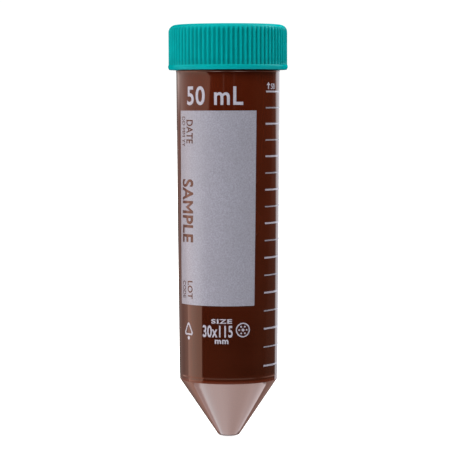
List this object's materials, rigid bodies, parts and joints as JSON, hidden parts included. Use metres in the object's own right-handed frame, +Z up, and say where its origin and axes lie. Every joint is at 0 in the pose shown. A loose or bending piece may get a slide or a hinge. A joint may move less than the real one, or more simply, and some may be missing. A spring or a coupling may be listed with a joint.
{
  "type": "centrifuge tube",
  "caption": "Conical-bottom screw-cap laboratory tube in brown light-blocking plastic, with a teal ribbed cap, a white writing panel and printed volume marks.",
  "frame": {"origin": "centre of the small flat on the tip of the cone, on the tube's axis", "axes": "+Z up along the tube's axis from tip to cap; the writing panel faces -Y; +X is to the right of someone reading the panel, with the volume marks on that side"},
  "size_m": [0.034, 0.034, 0.1171],
  "materials": {
    "tube_brown_pp": "glossy moulded polypropylene, brown, lets almost no light through",
    "cap_teal_hdpe": "satin moulded polyethylene, teal",
    "seal_teal_hdpe": "satin moulded polyethylene, teal",
    "print_white": "thin white printing ink, slightly lilac over the brown wall"
  },
  "bodies": {
    "tube": {"tube": "tube_brown_pp", "writing_panel": "print_white", "graduation_45_ml": "print_white", "graduation_42_5_ml": "print_white", "graduation_40_ml": "print_white", "graduation_37_5_ml": "print_white", "graduation_35_ml": "print_white", "graduation_32_5_ml": "print_white", "graduation_30_ml": "print_white", "graduation_27_5_ml": "print_white", "graduation_25_ml": "print_white", "graduation_22_5_ml": "print_white", "graduation_20_ml": "print_white", "graduation_17_5_ml": "print_white", "graduation_15_ml": "print_white", "graduation_12_5_ml": "print_white", "graduation_10_ml": "print_white", "graduation_7_5_ml": "print_white", "graduation_5_ml": "print_white"},
    "seal_ring": {"plug_seal_ring": "seal_teal_hdpe"},
    "cap": {"cap": "cap_teal_hdpe"}
  },
  "joints": [
    {"name": "cap_lift", "type": "slide", "parent": "tube", "child": "seal_ring", "axis": [0, 0, 1], "range_m": [0, 0.017]},
    {"name": "cap_turn", "type": "hinge", "parent": "seal_ring", "child": "cap", "pos_m": [0, 0, 0.11], "axis": [0, 0, 1], "range_deg": [0, 1800]}
  ],
  "couplings": [
    {"joint": "cap_turn", "follows": "cap_lift", "rad_per_m": 1848}
  ]
}
